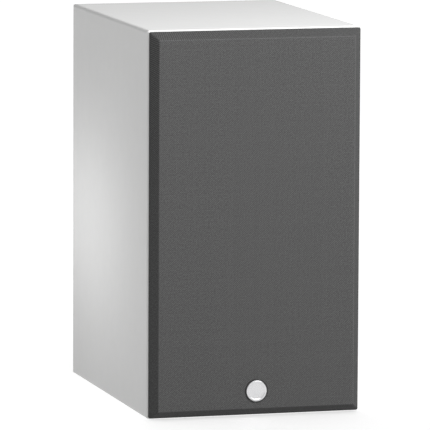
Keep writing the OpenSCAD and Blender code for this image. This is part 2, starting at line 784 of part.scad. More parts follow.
module tweeter_inductor() {
    color("sienna") translate([22, -3, board_top + 13]) rotate([90, 0, 0]) tube(7, 13, 0, 13);
}

module crossover_capacitors() {
    color("goldenrod") {
        translate([-43, 31, board_top + 9]) rotate([0, 90, 0]) cylinder(r = 9, h = 38);
        translate([-39, 50, board_top + 7]) rotate([0, 90, 0]) cylinder(r = 7, h = 30);
        translate([40, 20, board_top + 6]) rotate([-90, 0, 0]) cylinder(r = 6, h = 26);
    }
}

module crossover_resistors() {
    color("white") for (x = [10, 23]) translate([x, 10, board_top]) cube([9, 40, 9]);
}

module wiring(paths, colour) { color(colour) for (p = paths) wire(p, wire_r); }

module wiring_red() { wiring([input_red, woofer_red, tweeter_red], "firebrick"); }

module wiring_black() { wiring([input_black, woofer_black, tweeter_black], [0.1, 0.1, 0.1]); }

// ---- Nodes ----

left_panel();
right_panel();
top_panel();
bottom_panel();
front_baffle();
back_panel();
window_brace();
damping_foam();
grille_frame();
grille_cloth();
grille_pegs();
grille_sockets();
badge_bezel();
badge_face();
woofer_basket();
woofer_gasket();
woofer_screws();
woofer_surround();
woofer_cone();
woofer_dust_cap();
woofer_coil_former();
woofer_voice_coil();
woofer_spider();
woofer_top_plate();
woofer_magnet();
woofer_yoke();
woofer_terminals();
woofer_tinsel_leads();
tweeter_faceplate();
tweeter_gasket();
tweeter_screws();
tweeter_dome();
tweeter_surround();
tweeter_mounting_ring();
tweeter_voice_coil();
tweeter_top_plate();
tweeter_magnet();
tweeter_yoke();
tweeter_rear_chamber();
port_tube();
terminal_cup();
terminal_screws();
post_collar_red();
post_collar_black();
post_stud_red();
post_stud_black();
post_clamp_red();
post_clamp_black();
post_knob_red();
post_knob_black();
post_nuts();
solder_lugs();
crossover_board();
board_screws();
woofer_inductor();
tweeter_inductor();
crossover_capacitors();
crossover_resistors();
wiring_red();
wiring_black();
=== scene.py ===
"""A compact bookshelf speaker: a white lacquered cabinet, a pull-off grille of dark grey cloth with
bevelled edges, a woofer and a dome tweeter behind it, and a port and two binding posts at the back.

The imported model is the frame, and each piece's place comes from its nodes. Lengths are in metres, +Z is up
and the front faces -Y. The profile of a turned part is given as radius and height out of the baffle or the
back panel, in millimetres."""

import json
import math
import random

import bmesh
import bpy
import numpy as np
from mathutils import Matrix, Vector


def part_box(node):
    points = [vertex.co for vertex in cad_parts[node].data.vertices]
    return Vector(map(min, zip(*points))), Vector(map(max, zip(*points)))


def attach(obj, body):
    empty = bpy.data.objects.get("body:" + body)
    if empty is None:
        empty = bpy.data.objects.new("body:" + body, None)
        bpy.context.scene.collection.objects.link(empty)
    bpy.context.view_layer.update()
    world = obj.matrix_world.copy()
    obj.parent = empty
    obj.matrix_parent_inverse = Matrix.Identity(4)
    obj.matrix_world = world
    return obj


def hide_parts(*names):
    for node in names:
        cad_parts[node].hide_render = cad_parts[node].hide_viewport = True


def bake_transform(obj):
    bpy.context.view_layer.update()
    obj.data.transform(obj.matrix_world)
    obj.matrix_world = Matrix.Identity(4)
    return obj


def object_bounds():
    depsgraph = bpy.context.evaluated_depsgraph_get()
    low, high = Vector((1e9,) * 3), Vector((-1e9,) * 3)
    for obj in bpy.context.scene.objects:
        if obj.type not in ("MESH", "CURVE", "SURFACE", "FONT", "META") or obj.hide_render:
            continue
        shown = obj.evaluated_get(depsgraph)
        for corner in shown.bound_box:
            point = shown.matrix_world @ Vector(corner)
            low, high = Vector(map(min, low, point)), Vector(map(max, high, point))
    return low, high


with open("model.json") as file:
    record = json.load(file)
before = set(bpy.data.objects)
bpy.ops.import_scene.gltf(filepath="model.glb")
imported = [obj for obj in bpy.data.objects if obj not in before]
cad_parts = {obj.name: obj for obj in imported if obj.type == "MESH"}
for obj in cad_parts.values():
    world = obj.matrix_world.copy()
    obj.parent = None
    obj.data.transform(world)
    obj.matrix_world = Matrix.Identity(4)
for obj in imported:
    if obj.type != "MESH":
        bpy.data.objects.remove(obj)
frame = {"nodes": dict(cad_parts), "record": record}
cad_low, cad_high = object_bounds()
nodes = frame["nodes"]
bodies = frame["record"]["behaviour"]["bodies"]
body_of = {node: body for body, members in bodies.items() for node in members}
baffle_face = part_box("front_baffle")[0].y
back_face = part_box("back_panel")[1].y
MM = 0.001
random.seed(7)

# the camera's angles are in degrees, and its sensor and focal length in millimetres
CAMERA_PLACE = (-1.1319, -3.9806, 0.6876)
CAMERA_PAN, CAMERA_TILT, CAMERA_ROLL = -15.876, -7.514, 0.255
SENSOR, FOCAL_LENGTH = 36, 443.1
SPEAKER_MIDDLE = (cad_low[2] + cad_high[2]) / 2
FLOOR_RADIUS = 25

# for turned parts, in millimetres
ON_AXIS = 1e-6
CONE_RIM, CONE_NECK, CONE_DEPTH = 44.5, 12.75, 20.0
SURROUND_BASE = -2.8


# ---- Camera, light and floor ----


def add_camera():
    """Four metres off, to the left of the front and a little above, with a long lens."""
    lens = bpy.data.cameras.new("camera")
    lens.sensor_width = SENSOR
    lens.lens = FOCAL_LENGTH
    lens.clip_end = 2 * FLOOR_RADIUS + 10
    camera = bpy.data.objects.new("camera", lens)
    camera.matrix_world = (
        Matrix.Translation(CAMERA_PLACE)
        @ Matrix.Rotation(math.radians(CAMERA_PAN), 4, "Z")
        @ Matrix.Rotation(math.radians(90 + CAMERA_TILT), 4, "X")
        @ Matrix.Rotation(math.radians(CAMERA_ROLL), 4, "Z")
    )
    bpy.context.scene.collection.objects.link(camera)
    bpy.context.scene.camera = camera


def add_soft_box(name, azimuth, elevation, distance, size, strength, spread=180, lift=0.0):
    """A rectangular light turned to the speaker's middle, or to a point lifted from there. Azimuth 0 is in
    front and 90 to the right. strength is the brightness that it would give a white surface facing it, were
    its spread the full 180 degrees."""
    light = bpy.data.lights.new(name, "AREA")
    light.shape = "RECTANGLE"
    light.size, light.size_y = size
    light.energy = strength * (math.pi * distance) ** 2
    light.spread = math.radians(spread)
    a, e = math.radians(azimuth), math.radians(elevation)
    towards = Vector((math.sin(a) * math.cos(e), -math.cos(a) * math.cos(e), math.sin(e)))
    obj = bpy.data.objects.new(name, light)
    obj.location = Vector((0, 0, SPEAKER_MIDDLE + lift)) + towards * distance
    obj.rotation_euler = towards.to_track_quat("Z", "Y").to_euler()
    obj.visible_camera = False
    bpy.context.scene.collection.objects.link(obj)
    return obj


def add_studio():
    """The light of a white studio: a bright band at the horizon, so that the floor's edge doesn't show, an
    even dimmer light elsewhere, and two soft lobes, one from above and one from the front right."""
    world = bpy.data.worlds.new("studio")
    world.use_nodes = True
    graph = Graph(world.node_tree)
    direction = graph.coordinates("Generated")
    height = graph.math("ABSOLUTE", graph.split(direction)[2])
    horizon, elsewhere = 1.0, 0.28
    light = graph.between(height, horizon, elsewhere, 0.03, 0.07)
    above = ((0, 0, 1), 3, 0.52)
    front_right = ((0.6, -1, 0.5), 4, 0.38)
    for towards, sharpness, strength in (above, front_right):
        aim = graph.tree.nodes.new("ShaderNodeVectorMath")
        aim.operation = "DOT_PRODUCT"
        graph.plug(aim.inputs[0], direction)
        aim.inputs[1].default_value = Vector(towards).normalized()
        lobe = graph.math("POWER", graph.math("MAXIMUM", aim.outputs["Value"], 0.0), sharpness)
        light = graph.math("MULTIPLY_ADD", lobe, strength, light)
    background = graph.tree.nodes["Background"]
    background.inputs["Color"].default_value = (1, 1, 1, 1)
    graph.plug(background.inputs["Strength"], light)
    bpy.context.scene.world = world


def add_lights(floor):
    """A key and a hair light that spare the floor, as flags do in a studio, a narrow glow low on the left
    side from behind, and the studio's own light."""
    key = add_soft_box("key", azimuth=30, elevation=35, distance=1.4, size=(0.5, 0.5), strength=1.13)
    hair = add_soft_box("hair", azimuth=10, elevation=55, distance=0.9, size=(0.4, 0.3), strength=0.19)
    add_soft_box("side_grid", azimuth=-125, elevation=3, distance=0.6, size=(0.16, 0.1), strength=0.0095,
                 spread=26, lift=-0.025)
    spared = bpy.data.collections.new("spared_by_key_and_hair")
    spared.objects.link(floor)
    spared.collection_objects[0].light_linking.link_state = "EXCLUDE"
    for light in (key, hair):
        light.light_linking.receiver_collection = spared
    add_studio()
    bpy.context.scene.view_settings.view_transform = "Standard"


def add_floor():
    """A wide round sheet of white paper with a soft glow of its own, slightly weaker round the speaker as
    painted shade.
    """
    mesh = bpy.data.meshes.new("floor")
    sides = 64
    angles = [2 * math.pi * i / sides for i in range(sides)]
    rim = [(FLOOR_RADIUS * math.cos(angle), FLOOR_RADIUS * math.sin(angle), 0) for angle in angles]
    mesh.from_pydata(rim, [], [tuple(range(sides))])
    floor = bpy.data.objects.new("floor", mesh)
    paper = Surface("floor_paper", (0.9, 0.9, 0.9), 0.6)
    paper.socket("Emission Color", (1, 1, 1, 1))
    x, y, _ = paper.split(paper.place)
    # painted shade: the floor's glow is a little weaker near the speaker and reaches full strength by 0.45 m
    shaded_near_glow, far_glow = 0.575, 0.6
    paper.feed("Emission Strength", paper.between(paper.length(x, y), shaded_near_glow, far_glow, 0.15, 0.45))
    mesh.materials.append(paper.material)
    bpy.context.scene.collection.objects.link(floor)
    return floor


# ---- Materials ----


class Graph:
    """Short calls for the nodes of a material or a world. Positions are in metres."""

    def __init__(self, tree):
        self.tree = tree

    def coordinates(self, kind):
        return self.tree.nodes.new("ShaderNodeTexCoord").outputs[kind]

    def plug(self, socket, value):
        if isinstance(value, bpy.types.NodeSocket):
            self.tree.links.new(value, socket)
        else:
            socket.default_value = value

    def math(self, operation, *values):
        node = self.tree.nodes.new("ShaderNodeMath")
        node.operation = operation
        for socket, value in zip(node.inputs, values):
            self.plug(socket, value)
        return node.outputs[0]

    def split(self, vector):
        node = self.tree.nodes.new("ShaderNodeSeparateXYZ")
        self.plug(node.inputs[0], vector)
        return node.outputs

    def join(self, x, y, z):
        node = self.tree.nodes.new("ShaderNodeCombineXYZ")
        for socket, value in zip(node.inputs, (x, y, z)):
            self.plug(socket, value)
        return node.outputs[0]

    def length(self, a, b):
        """The distance from the origin to the point (a, b)."""
        squares = [self.math("MULTIPLY", value, value) for value in (a, b)]
        return self.math("SQRT", self.math("ADD", *squares))

    def between(self, value, low, high, start=0.0, end=1.0):
        """value, taken from the range start to end into the range low to high."""
        node = self.tree.nodes.new("ShaderNodeMapRange")
        for socket, v in zip(node.inputs, (value, start, end, low, high)):
            self.plug(socket, v)
        return node.outputs[0]


class Surface(Graph):
    """A material with a Principled shader. A pattern lies in the object's own space, unless it is given a
    vector of its own."""

    def __init__(self, name, colour, roughness, metallic=0.0):
        self.material = bpy.data.materials.new(name)
        self.material.use_nodes = True
        super().__init__(self.material.node_tree)
        self.shader = self.tree.nodes["Principled BSDF"]
        self.socket("Base Color", (*colour, 1))
        self.socket("Roughness", roughness)
        self.socket("Metallic", metallic)
        self.place = self.coordinates("Object")

    def socket(self, name, value):
        self.shader.inputs[name].default_value = value

    def feed(self, name, output):
        self.tree.links.new(output, self.shader.inputs[name])

    def moved(self, offset=(0, 0, 0), scale=(1, 1, 1), vector=None):
        node = self.tree.nodes.new("ShaderNodeMapping")
        self.plug(node.inputs["Vector"], vector or self.place)
        node.inputs["Location"].default_value = offset
        node.inputs["Scale"].default_value = scale
        return node.outputs[0]

    def noise(self, size, detail, vector=None):
        """Soft noise from 0 to 1 with lumps of about this size."""
        node = self.tree.nodes.new("ShaderNodeTexNoise")
        self.plug(node.inputs["Vector"], vector or self.place)
        node.inputs["Scale"].default_value = 1 / size
        node.inputs["Detail"].default_value = detail
        return node.outputs["Fac"]

    def cells(self, size):
        """The distance to the middle of the nearest of many scattered cells of about this size."""
        node = self.tree.nodes.new("ShaderNodeTexVoronoi")
        self.plug(node.inputs["Vector"], self.place)
        node.inputs["Scale"].default_value = 1 / size
        return node.outputs["Distance"]

    def random_of(self, value):
        """A random number from 0 to 1 that is the same wherever value is."""
        node = self.tree.nodes.new("ShaderNodeTexWhiteNoise")
        node.noise_dimensions = "1D"
        self.plug(node.inputs["W"], value)
        return node.outputs["Value"]

    def blend(self, factor, dark, light):
        """A colour from dark to light as factor goes from 0 to 1."""
        node = self.tree.nodes.new("ShaderNodeMix")
        node.data_type = "RGBA"
        self.plug(node.inputs["Factor"], factor)
        for name, colour in (("A", dark), ("B", light)):
            socket = next(s for s in node.inputs if s.name == name and s.type == "RGBA")
            socket.default_value = (*colour, 1)
        return next(s for s in node.outputs if s.type == "RGBA")

    def bump(self, height, depth):
        """Relief of this depth, in metres, where height goes from 0 to 1."""
        node = self.tree.nodes.new("ShaderNodeBump")
        node.inputs["Strength"].default_value = 1.0
        node.inputs["Distance"].default_value = depth
        self.plug(node.inputs["Height"], height)
        self.feed("Normal", node.outputs[0])


def shade(colour, factor):
    return tuple(min(1.0, c * factor) for c in colour)


def lacquer():
    """Satin white paint, sprayed: a faint orange peel and a slightly uneven sheen."""
    white = (0.61, 0.61, 0.607)
    s = Surface("white_lacquer", white, 0.55)
    cloud = s.noise(60 * MM, 3)
    s.feed("Base Color", s.blend(cloud, shade(white, 0.985), shade(white, 1.01)))
    s.feed("Roughness", s.between(s.noise(12 * MM, 4), 0.5, 0.6, 0.3, 0.7))
    s.socket("Specular IOR Level", 0.3)
    s.bump(s.noise(1.6 * MM, 2), 0.012 * MM)
    return s.material


def woven(s, u, v, pitch, dark, light, depth, fleck=0.12, gain=None):
    """A plain weave of round threads over u and v, in metres. Gaps are dark, both as the holes of the open
    weave and as painted shade, each thread is painted in shade down its sides, and each thread has its own
    tone. fleck is how uneven the yarn is, and gain an output that the cloth's tone is multiplied by."""
    place = s.join(u, v, 0.0)
    elsewhere = s.moved(offset=(0.3, 0.7, 0), vector=place)
    bend = 0.6
    wander = s.between(s.noise(8 * pitch, 2, place), -bend, bend)
    stray = s.between(s.noise(9 * pitch, 2, elsewhere), -bend, bend)
    u = s.math("ADD", s.math("DIVIDE", u, pitch), wander)
    v = s.math("ADD", s.math("DIVIDE", v, pitch), stray)
    across = s.math("FLOOR", u)
    along = s.math("FLOOR", v)

    def thread(position, other, own, shift):
        """The height of the threads that are counted by own, as they pass over and under the others."""
        crown = s.math("SINE", s.math("MULTIPLY", s.math("FRACT", position), math.pi))
        phase = s.math("ADD", s.math("MULTIPLY", s.math("ADD", other, own), math.pi), shift)
        return s.math("MULTIPLY", crown, s.math("MULTIPLY_ADD", s.math("COSINE", phase), 0.3, 0.7))

    warp = thread(u, v, across, 0.0)
    weft = thread(v, u, along, math.pi)
    height = s.math("MAXIMUM", warp, weft)
    both = s.math("ADD", s.random_of(across), s.random_of(s.math("ADD", along, 0.5)))
    tone = s.math("MULTIPLY", both, 0.5)
    flecks = s.between(s.noise(1.7 * pitch, 3, place), 1 - fleck, 1 + fleck, 0.3, 0.7)
    if gain:
        flecks = s.math("MULTIPLY", flecks, gain)
    # painted shade: each thread's crown stays bright, and its sides and the gaps between threads are painted
    # dark
    lit = s.math("MULTIPLY", s.between(height, 0.2, 0.95, 0.35, 0.95), s.between(tone, 0.93, 1.05))
    s.feed("Base Color", s.blend(s.math("MULTIPLY", lit, flecks), dark, light))
    s.bump(height, depth)


def grille_cloth_material(face_w, face_h, crease):
    """Charcoal acoustic cloth: a fine open weave of uneven yarn, with a painted highlight along the creases
    round the face and painted shade past them, on the bevels. face_w and face_h are half the flat face's
    size, and crease is the width of cloth that goes round its edge."""
    s = Surface("grille_weave", (0.1, 0.1, 0.1), 0.9)
    flat = s.tree.nodes.new("ShaderNodeUVMap")
    flat.uv_map = "cut"
    u, v, _ = s.split(flat.outputs[0])
    past_x = s.math("SUBTRACT", s.math("ABSOLUTE", u), face_w)
    past_z = s.math("SUBTRACT", s.math("ABSOLUTE", v), face_h)
    past = s.math("MAXIMUM", past_x, past_z)
    from_crease = s.math("ABSOLUTE", s.math("SUBTRACT", past, crease / 2))
    # painted light: a painted highlight along the creases and painted shade on the bevels, multiplied into
    # the cloth's tone
    crease_highlight_gain, bevel_shade_gain = 1.5, 0.8
    painted_crease_highlight = s.between(from_crease, crease_highlight_gain, 1.0, 0.0, crease * 0.6)
    painted_bevel_shade = s.between(past, 1.0, bevel_shade_gain, crease / 2, crease)
    gain = s.math("MULTIPLY", painted_crease_highlight, painted_bevel_shade)
    pitch, dark, light = 0.72 * MM, (0.02, 0.02, 0.02), (0.1, 0.1, 0.1)
    woven(s, u, v, pitch, dark, light, depth=0.04 * MM, fleck=0.34, gain=gain)
    s.socket("Specular IOR Level", 0.06)
    s.socket("Sheen Weight", 0.03)
    s.socket("Sheen Roughness", 0.4)
    return s.material


def fine_cloth(name, pitch, dark, light, roughness=0.85):
    """A finer weave on a part that faces the front."""
    s = Surface(name, light, roughness)
    x, _, z = s.split(s.place)
    woven(s, x, z, pitch, dark, light, 0.2 * pitch)
    s.socket("Specular IOR Level", 0.25)
    return s.material


def board(name, colour, roughness):
    """Fibreboard, with short fibres pressed into it."""
    s = Surface(name, colour, roughness)
    fibres = s.noise(0.9 * MM, 5, s.moved(scale=(1, 1, 0.25)))
    s.feed("Base Color", s.blend(fibres, shade(colour, 0.7), shade(colour, 1.35)))
    s.bump(fibres, 0.05 * MM)
    return s.material


def moulded(name, colour, roughness, grain=0.5 * MM, depth=0.02 * MM):
    """Moulded plastic or powder coat with a fine pebbled grain."""
    s = Surface(name, colour, roughness)
    pebbles = s.cells(grain)
    s.feed("Base Color", s.blend(s.noise(20 * MM, 3), shade(colour, 0.85), shade(colour, 1.15)))
    s.feed("Roughness", s.between(s.noise(6 * MM, 3), roughness - 0.06, roughness + 0.06, 0.3, 0.7))
    s.bump(pebbles, depth)
    return s.material


def rubber(name="butyl_rubber"):
    """Matt black rubber with a slight bloom."""
    s = Surface(name, (0.025, 0.025, 0.026), 0.55)
    bloom = s.noise(8 * MM, 4)
    s.feed("Base Color", s.blend(bloom, (0.018, 0.018, 0.018), (0.042, 0.042, 0.043)))
    s.feed("Roughness", s.between(bloom, 0.48, 0.66, 0.3, 0.7))
    s.bump(s.noise(0.6 * MM, 3), 0.01 * MM)
    return s.material


def pulp():
    """The cone's pressed paper: dark, with paler fibres in every direction."""
    s = Surface("cone_pulp", (0.045, 0.045, 0.048), 0.8)
    size = 1.1 * MM
    upright = s.noise(size, 5, s.moved(scale=(1, 1, 0.3)))
    level = s.noise(size, 5, s.moved(scale=(0.3, 1, 1)))
    fibres = s.math("MAXIMUM", upright, level)
    dark, light = (0.032, 0.032, 0.034), (0.075, 0.075, 0.077)
    s.feed("Base Color", s.blend(s.between(fibres, 0, 1, 0.5, 0.75), dark, light))
    s.bump(fibres, 0.08 * MM)
    return s.material


def turned_metal(name, colour, node, roughness=0.28, pitch=0.25 * MM):
    """Metal turned on a lathe, with fine rings about the axis of a part that faces the front."""
    low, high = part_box(node)
    centre = (low + high) / 2
    s = Surface(name, colour, roughness, 1.0)
    x, _, z = s.split(s.moved(offset=tuple(-centre)))
    rings = s.math("SINE", s.math("MULTIPLY", s.length(x, z), 2 * math.pi / pitch))
    uneven = s.math("MULTIPLY", rings, s.noise(4 * MM, 4))
    tone = s.between(uneven, 0, 1, -0.6, 0.6)
    s.feed("Base Color", s.blend(tone, shade(colour, 0.9), shade(colour, 1.05)))
    s.feed("Roughness", s.between(uneven, roughness - 0.06, roughness + 0.08, -0.5, 0.5))
    s.bump(uneven, 0.008 * MM)
    s.socket("Anisotropic", 0.5)
    return s.material


def plated_metal(name, colour, roughness):
    """Plated or ground metal with small scratches and a slightly cloudy finish."""
    s = Surface(name, colour, roughness, 1.0)
    cloud = s.noise(5 * MM, 5)
    s.feed("Base Color", s.blend(cloud, shade(colour, 0.82), shade(colour, 1.06)))
    s.feed("Roughness", s.between(cloud, roughness - 0.08, roughness + 0.12, 0.3, 0.7))
    s.bump(s.noise(0.8 * MM, 4, s.moved(scale=(1, 1, 6))), 0.006 * MM)
    return s.material


def ferrite():
    """Ground black ceramic with a fine sparkle of grain."""
    s = Surface("ferrite", (0.06, 0.06, 0.065), 0.55)
    grain = s.noise(1.2 * MM, 6)
    s.feed("Base Color", s.blend(grain, (0.035, 0.035, 0.04), (0.11, 0.11, 0.115)))
    s.bump(grain, 0.03 * MM)
    return s.material


def windings(name, colour, axis, pitch):
    """Enamelled wire, wound in even turns along an axis, 0 for X, 1 for Y or 2 for Z. Each turn is painted
    dark towards the grooves between turns, as painted shade.
    """
    s = Surface(name, colour, 0.25, 1.0)
    turns = s.math("PINGPONG", s.math("DIVIDE", s.split(s.place)[axis], pitch), 0.5)
    crown = s.between(turns, 0, 1, 0, 0.5)
    # painted shade: the wire's colour falls to about a third in the grooves between turns
    s.feed("Base Color", s.blend(crown, shade(colour, 0.35), colour))
    s.bump(crown, 0.3 * pitch)
    return s.material


def mottled(name, colour, roughness, size, spread=0.15, depth=0.02 * MM):
    """An even colour with soft mottling, for film, cement, laminate and insulation."""
    s = Surface(name, colour, roughness)
    lumps = s.noise(size, 4)
    s.feed("Base Color", s.blend(lumps, shade(colour, 1 - spread), shade(colour, 1 + spread)))
    s.feed("Roughness", s.between(lumps, roughness - 0.05, roughness + 0.05, 0.3, 0.7))
    s.bump(lumps, depth)
    return s.material


def foam(name, colour, cell):
    """Open-cell foam, with a hole in each cell, and painted shade in each hole."""
    s = Surface(name, colour, 0.95)
    holes = s.cells(cell)
    tone = s.between(holes, 0, 1, 0.1, 0.6)
    # painted shade: each cell is painted dark towards its hole
    s.feed("Base Color", s.blend(tone, shade(colour, 0.45), shade(colour, 1.3)))
    s.bump(holes, 0.6 * cell)
    return s.material


# ---- Shapes ----


def add_piece(name, mesh, body, material, node=None, sharp=35):
    """Puts a finished mesh on a CAD body, in place of a CAD node if one is named.
    Edges over sharp degrees stay crisp."""
    mesh.shade_smooth()
    mesh.set_sharp_from_angle(angle=math.radians(sharp))
    mesh.materials.clear()
    mesh.materials.append(material)
    piece = bpy.data.objects.new(name, mesh)
    bpy.context.scene.collection.objects.link(piece)
    if body:
        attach(piece, body)
    if node:
        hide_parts(node)
    return piece


def mesh_of(name, vertices, faces):
    """A mesh with its normals facing out."""
    mesh = bpy.data.meshes.new(name)
    mesh.from_pydata([tuple(v) for v in vertices], [], faces)
    cleaned = bmesh.new()
    cleaned.from_mesh(mesh)
    bmesh.ops.recalc_face_normals(cleaned, faces=cleaned.faces)
    cleaned.to_mesh(mesh)
    cleaned.free()
    return mesh


def arc(start, middle, end, steps):
    """Points on a smooth curve from start to end, pulled towards the middle point."""
    out = []
    for k in range(steps + 1):
        t = k / steps
        a, b, c = (1 - t) ** 2, 2 * t * (1 - t), t * t
        out.append(tuple(a * p + b * q + c * r for p, q, r in zip(start, middle, end)))
    return out


def rounded(profile):
    """A closed profile with an arc at each corner that carries a radius, as a third number, and isn't on the
    axis. A corner that turns by less than 12 degrees stays as it is."""
    steps, longest = 4, 0.48
    out = []
    for i, point in enumerate(profile):
        here = Vector(point[:2])
        before = Vector(profile[i - 1][:2]) - here
        after = Vector(profile[(i + 1) % len(profile)][:2]) - here
        if len(point) < 3 or here.x < ON_AXIS:
            out.append(tuple(here))
            continue
        a, b = before.normalized(), after.normalized()
        turn = math.pi - a.angle(b)
        if turn < math.radians(12):
            out.append(tuple(here))
            continue
        cut = min(point[2] * math.tan(turn / 2), before.length * longest, after.length * longest)
        out += arc(here + a * cut, here, here + b * cut, steps)
    return out


def lathe(name, profile, place, segments=96):
    """The closed profile, in millimetres of radius and height, turned about an axis.
    place turns two distances from the axis and a height into a point."""
    vertices, rings = [], []
    for r, h in profile:
        count = segments if r > ON_AXIS else 1
        rings.append([len(vertices) + k % count for k in range(segments)])
        for k in range(count):
            angle = 2 * math.pi * k / segments
            vertices.append(place(r * math.cos(angle) * MM, r * math.sin(angle) * MM, h * MM))
    faces = []
    for one, other in zip(rings, rings[1:] + rings[:1]):
        for k in range(segments):
            m = (k + 1) % segments
            corners = dict.fromkeys((one[k], one[m], other[m], other[k]))
            if len(corners) > 2:
                faces.append(tuple(corners))
    return mesh_of(name, vertices, faces)


def add_turned(name, profile, place, body, material, node, segments=96):
    """A turned piece in the place of a CAD node."""
    return add_piece(name, lathe(name, profile, place, segments), body, material, node)


def axis_of(node):
    """The X and Z of the axis of a node that faces the front or the back."""
    low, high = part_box(node)
    return (low.x + high.x) / 2, (low.z + high.z) / 2


def on_baffle(node):
    """Places a point about a node's axis, with heights out of the baffle's face, towards the front."""
    x0, z0 = axis_of(node)
    return lambda x, y, h: (x0 + x, baffle_face - h, z0 + y)


def on_back(node):
    """Places a point about a node's axis, with heights out of the back panel's face, towards the back."""
    x0, z0 = axis_of(node)
    return lambda x, y, h: (x0 + x, back_face + h, z0 + y)


def round_edges(shape, edges, width, crowded=False):
    bmesh.ops.bevel(shape, geom=edges, offset=width, segments=2, profile=0.5, affect="EDGES",
                    clamp_overlap=crowded)


def softened(node, width, crowded=False):
    """A CAD node's shape with its sharp edges rounded, as moulding, casting or sanding leaves them.
    Where edges lie closer together than their own rounding, crowded keeps it from overlapping."""
    mesh = nodes[node].data.copy()
    mesh.name = node + "_softened"
    shape = bmesh.new()
    shape.from_mesh(mesh)
    bmesh.ops.remove_doubles(shape, verts=shape.verts, dist=0.002 * MM)
    folds = [e for e in shape.edges if len(e.link_faces) == 2]
    sharp = [e for e in folds if e.calc_face_angle() > math.radians(30)]
    round_edges(shape, sharp, width, crowded)
    bmesh.ops.triangulate(shape, faces=[f for f in shape.faces if len(f.verts) > 4])
    shape.to_mesh(mesh)
    shape.free()
    return mesh


def soften(node, width, material, crowded=False):
    """Puts a softened copy in the place of a CAD node."""
    mesh = softened(node, width, crowded)
    piece = add_piece(node + "_finished", mesh, body_of[node], material, node)
    normals = piece.modifiers.new("flat_faces", "WEIGHTED_NORMAL")
    normals.keep_sharp = True


def add_bars(name, places, width, body, material):
    """Small bars as one piece. Each place turns a unit cube into a bar, and its edges are rounded."""
    shape = bmesh.new()
    for place in places:
        bmesh.ops.create_cube(shape, size=1, matrix=place)
    round_edges(shape, shape.edges, width)
    mesh = bpy.data.meshes.new(name)
    shape.to_mesh(mesh)
    shape.free()
    add_piece(name, mesh, body, material)


def paint(material, *names):
    """Gives CAD nodes that keep their shape a better material."""
    for name in names:
        for slot in nodes[name].material_slots:
            slot.material = material


def add_copy(name, material, node):
    """A copy of a CAD node's shape in its place, on no body."""
    return add_piece(name, nodes[node].data.copy(), None, material, node)


def blend_radially(piece):
    """Bakes the piece's place into its mesh. The piece is not shared between the moving body and the cabinet."""
    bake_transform(piece)


# ---- Cabinet ----


def make_cabinet():
    white = lacquer()
    paint(white, "left_panel", "right_panel", "top_panel", "bottom_panel", "front_baffle")
    soften("back_panel", 0.35 * MM, white)
    paint(board("raw_fibreboard", (0.34, 0.22, 0.12), 0.85), "window_brace")
    paint(foam("damping_foam", (0.09, 0.09, 0.1), 2.2 * MM), "damping_foam")


# ---- Grille ----


def ring(half_w, half_h, radius):
    """Points round a rectangle with rounded corners, anticlockwise from the foot of the right-hand side."""
    across, up, corner = 40, 70, 5
    w, h = half_w - radius, half_h - radius
    points = []
    for start, end, centre, first, count in (
        ((half_w, -h), (half_w, h), (w, h), 0, up),
        ((w, half_h), (-w, half_h), (-w, h), 90, across),
        ((-half_w, h), (-half_w, -h), (-w, -h), 180, up),
        ((-w, -half_h), (w, -half_h), (w, -h), 270, across),
    ):
        for k in range(count):
            t = k / count
            points.append((start[0] + (end[0] - start[0]) * t, start[1] + (end[1] - start[1]) * t))
        for k in range(corner):
            angle = math.radians(first + 90 * k / corner)
            points.append((centre[0] + radius * math.cos(angle), centre[1] + radius * math.sin(angle)))
    return points


def cloth_section(bevel_w, bevel_d, crease, depth):
    """The cloth's section from its face outwards, as distance in from the outline and distance behind the
    face: a crease, the bevel, a crease, the side, and the fold behind the frame."""
    lean = crease / math.hypot(bevel_w, bevel_d)
    bend, turn, fold = 0.7 * MM, 0.9 * MM, 10 * MM
    section = arc((bevel_w + crease, 0), (bevel_w, 0), (bevel_w * (1 - lean), bevel_d * lean), 5)
    section += [(bevel_w * 0.66, bevel_d * 0.34), (bevel_w * 0.33, bevel_d * 0.67)]
    section += arc((bevel_w * lean, bevel_d * (1 - lean)), (0, bevel_d), (0, bevel_d + bend), 4)
    section += arc((0, depth - turn), (0, depth), (turn, depth), 4)
    section += [(fold * 0.5, depth), (fold, depth)]
    return section


